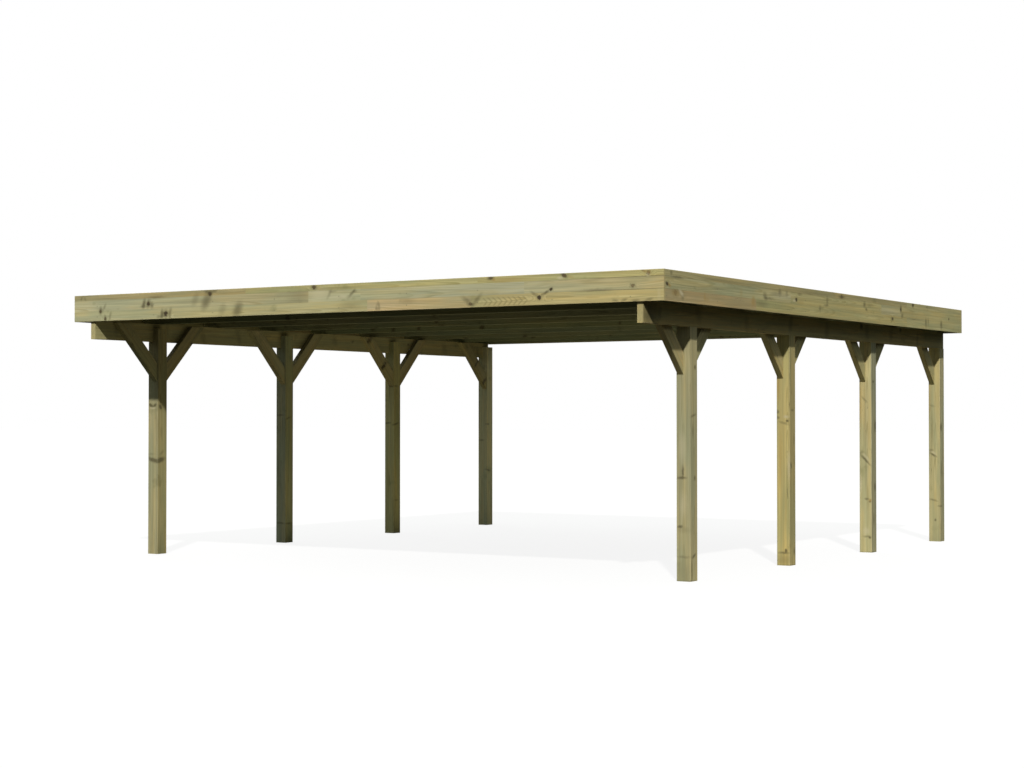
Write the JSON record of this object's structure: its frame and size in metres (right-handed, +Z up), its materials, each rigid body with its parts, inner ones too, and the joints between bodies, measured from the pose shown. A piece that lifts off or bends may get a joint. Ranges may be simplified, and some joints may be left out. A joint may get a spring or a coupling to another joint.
{
  "type": "double carport",
  "caption": "Free-standing timber carport for two cars: square posts, side beams, knee braces, cross joists and a flat sheet roof behind a fascia.",
  "frame": {"origin": "on the ground, below the middle of the roof", "axes": "+X to the right as seen from the entry, +Y from the entry to the back, +Z up"},
  "size_m": [5.736, 6.229, 2.26],
  "materials": {
    "post_timber": "planed pine, pressure treated, faintly green",
    "beam_timber": "planed pine, pressure treated, faintly green",
    "brace_timber": "planed pine, pressure treated, faintly green",
    "joist_timber": "planed pine, pressure treated, faintly green",
    "fascia_timber": "edge-glued pine boards, pressure treated, faintly green",
    "roof_steel": "coil-coated steel, matt grey"
  },
  "bodies": {
    "root": {"post_left_1": "post_timber", "post_left_2": "post_timber", "post_left_3": "post_timber", "post_left_4": "post_timber", "post_right_1": "post_timber", "post_right_2": "post_timber", "post_right_3": "post_timber", "post_right_4": "post_timber", "beam_left": "beam_timber", "beam_right": "beam_timber", "brace_left_1_front": "brace_timber", "brace_left_1_back": "brace_timber", "brace_left_2_front": "brace_timber", "brace_left_2_back": "brace_timber", "brace_left_3_front": "brace_timber", "brace_left_3_back": "brace_timber", "brace_left_4_front": "brace_timber", "brace_right_1_front": "brace_timber", "brace_right_1_back": "brace_timber", "brace_right_2_front": "brace_timber", "brace_right_2_back": "brace_timber", "brace_right_3_front": "brace_timber", "brace_right_3_back": "brace_timber", "brace_right_4_front": "brace_timber", "joist_1": "joist_timber", "joist_2": "joist_timber", "joist_3": "joist_timber", "joist_4": "joist_timber", "joist_5": "joist_timber", "joist_6": "joist_timber", "joist_7": "joist_timber", "joist_8": "joist_timber", "joist_9": "joist_timber", "fascia_front": "fascia_timber", "fascia_back": "fascia_timber", "fascia_left": "fascia_timber", "fascia_right": "fascia_timber", "roof_sheet_1": "roof_steel", "roof_sheet_2": "roof_steel", "roof_sheet_3": "roof_steel", "roof_sheet_4": "roof_steel", "roof_sheet_5": "roof_steel"}
  },
  "joints": []
}
